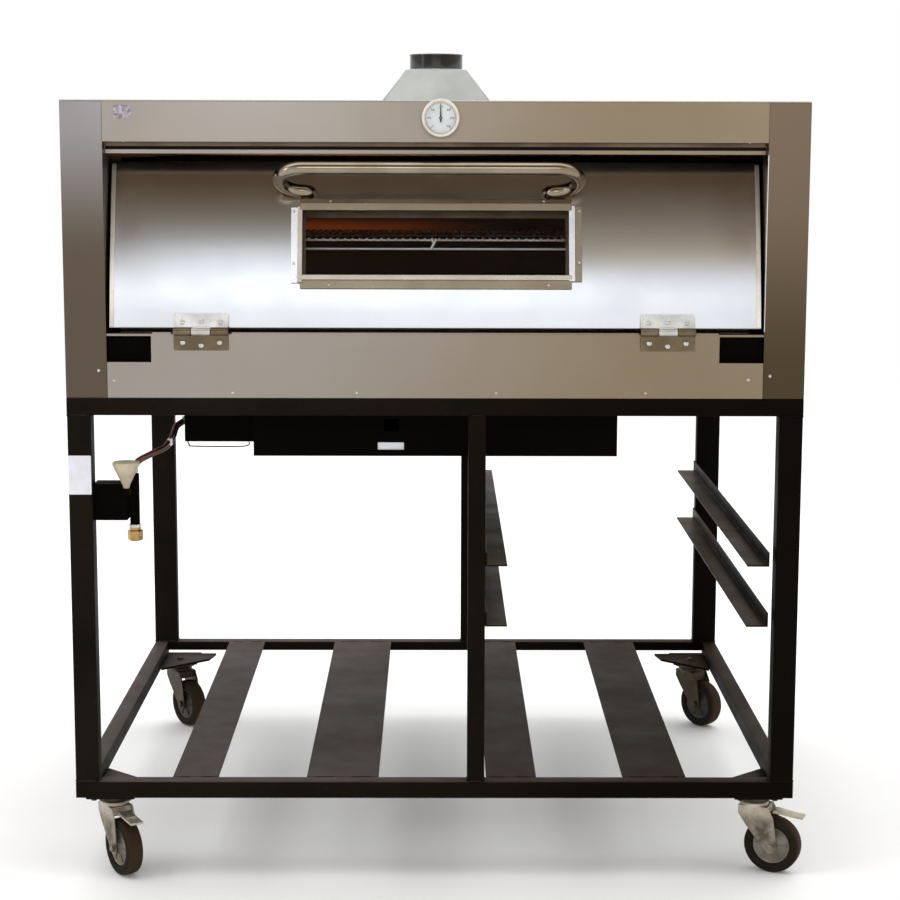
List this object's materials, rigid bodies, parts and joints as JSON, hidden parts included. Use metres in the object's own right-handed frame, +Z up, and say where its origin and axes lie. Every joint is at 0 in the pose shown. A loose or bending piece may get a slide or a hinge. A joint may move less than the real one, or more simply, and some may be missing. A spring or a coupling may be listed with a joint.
{
  "type": "gas deck pizza oven",
  "caption": "Stainless deck pizza oven with a glazed drop-down door, dial thermometer, flue hood and gas burner, on a black steel tube stand with shelf slats, tray runners and swivel casters.",
  "frame": {"origin": "on the floor, under the middle of the bounding box", "axes": "+Z up; +Y from the door to the rear; +X to the right as seen from the front"},
  "size_m": [1.2791, 1.0871, 1.4431],
  "materials": {
    "black_paint": "satin",
    "stainless": "satin",
    "bright_steel": "satin",
    "galvanised": "satin",
    "black_enamel": "gloss",
    "zinc": "satin",
    "tyre": "matte",
    "cream_plastic": "satin",
    "white_dial": "satin",
    "needle_black": "satin",
    "brass": "satin",
    "copper": "satin",
    "glass": "gloss",
    "refractory": "matte",
    "chamber_steel": "satin"
  },
  "bodies": {
    "oven_and_stand": {"stand_bottom_frame": "black_paint", "stand_top_frame": "black_paint", "stand_leg_front_left": "black_paint", "stand_leg_rear_left": "black_paint", "stand_leg_front_right": "black_paint", "stand_leg_rear_right": "black_paint", "stand_centre_post_front": "black_paint", "stand_centre_post_rear": "black_paint", "shelf_slat_1": "black_paint", "shelf_slat_2": "black_paint", "shelf_slat_3": "black_paint", "shelf_slat_4": "black_paint", "tray_runner_left_lower": "black_paint", "tray_runner_left_upper": "black_paint", "tray_runner_right_lower": "black_paint", "tray_runner_right_upper": "black_paint", "caster_plate_front_left": "black_paint", "caster_plate_front_right": "black_paint", "caster_plate_rear_left": "black_paint", "caster_plate_rear_right": "black_paint", "side_panel_left": "stainless", "side_panel_right": "stainless", "rear_panel": "stainless", "top_panel": "stainless", "base_panel": "galvanised", "top_fascia": "stainless", "lower_fascia": "stainless", "chamber_liner": "chamber_steel", "hearth_stone": "refractory", "wire_rack": "bright_steel", "flue_hood": "galvanised", "flue_collar": "black_enamel", "thermometer_case": "white_dial", "hinge_lower_leaf_left": "zinc", "hinge_lower_leaf_right": "zinc", "burner_box": "black_paint", "burner_tube": "chamber_steel", "gas_valve_body": "black_paint", "gas_inlet_nut": "brass", "gas_tubes": "copper"},
    "door": {"door_outer_panel": "stainless", "door_inner_panel": "chamber_steel", "window_frame": "bright_steel", "window_glass": "glass", "door_handle": "bright_steel", "hinge_upper_leaf_left": "zinc", "hinge_upper_leaf_right": "zinc"},
    "gas_knob": {"gas_valve_knob": "cream_plastic"},
    "needle": {"thermometer_needle": "needle_black"},
    "fork_front_left": {"caster_fork_front_left": "zinc"},
    "wheel_front_left": {"caster_wheel_front_left": "tyre"},
    "pedal_left": {"brake_pedal_left": "cream_plastic"},
    "fork_front_right": {"caster_fork_front_right": "zinc"},
    "wheel_front_right": {"caster_wheel_front_right": "tyre"},
    "pedal_right": {"brake_pedal_right": "cream_plastic"},
    "fork_rear_left": {"caster_fork_rear_left": "zinc"},
    "wheel_rear_left": {"caster_wheel_rear_left": "tyre"},
    "fork_rear_right": {"caster_fork_rear_right": "zinc"},
    "wheel_rear_right": {"caster_wheel_rear_right": "tyre"}
  },
  "joints": [
    {"name": "door_hinge", "type": "hinge", "parent": "oven_and_stand", "child": "door", "pos_m": [-0.0145, -0.5126, 0.961], "axis": [1, 0, 0], "range_deg": [0, 165]},
    {"name": "gas_knob_turn", "type": "hinge", "parent": "oven_and_stand", "child": "gas_knob", "pos_m": [-0.5415, -0.5024, 0.692], "axis": [0, 0, 1], "range_deg": [0, 90]},
    {"name": "thermometer_needle_turn", "type": "hinge", "parent": "oven_and_stand", "child": "needle", "pos_m": [-0.0065, -0.5174, 1.317], "axis": [0, 1, 0], "range_deg": [-135, 135]},
    {"name": "swivel_front_left", "type": "hinge", "parent": "oven_and_stand", "child": "fork_front_left", "pos_m": [-0.5815, -0.4514, 0], "axis": [0, 0, 1], "continuous": true},
    {"name": "wheel_spin_front_left", "type": "hinge", "parent": "fork_front_left", "child": "wheel_front_left", "pos_m": [-0.56193, -0.48042, 0.05], "axis": [0.829, 0.5592, 0], "continuous": true},
    {"name": "brake_pedal_left_press", "type": "hinge", "parent": "fork_front_left", "child": "pedal_left", "pos_m": [-0.55913, -0.48456, 0.1105], "axis": [0.829, 0.5592, 0], "range_deg": [0, 28]},
    {"name": "swivel_front_right", "type": "hinge", "parent": "oven_and_stand", "child": "fork_front_right", "pos_m": [0.5525, -0.4514, 0], "axis": [0, 0, 1], "continuous": true},
    {"name": "wheel_spin_front_right", "type": "hinge", "parent": "fork_front_right", "child": "wheel_front_right", "pos_m": [0.58447, -0.46564, 0.05], "axis": [0.4067, 0.9135, 0], "continuous": true},
    {"name": "brake_pedal_right_press", "type": "hinge", "parent": "fork_front_right", "child": "pedal_right", "pos_m": [0.58904, -0.46767, 0.1105], "axis": [0.4067, 0.9135, 0], "range_deg": [0, 28]},
    {"name": "swivel_rear_left", "type": "hinge", "parent": "oven_and_stand", "child": "fork_rear_left", "pos_m": [-0.5815, 0.4886, 0], "axis": [0, 0, 1], "continuous": true},
    {"name": "wheel_spin_rear_left", "type": "hinge", "parent": "fork_rear_left", "child": "wheel_rear_left", "pos_m": [-0.55995, 0.46102, 0.05], "axis": [0.788, 0.6157, 0], "continuous": true},
    {"name": "swivel_rear_right", "type": "hinge", "parent": "oven_and_stand", "child": "fork_rear_right", "pos_m": [0.5525, 0.4886, 0], "axis": [0, 0, 1], "continuous": true},
    {"name": "wheel_spin_rear_right", "type": "hinge", "parent": "fork_rear_right", "child": "wheel_rear_right", "pos_m": [0.575, 0.46179, 0.05], "axis": [0.766, 0.6428, 0], "continuous": true}
  ]
}
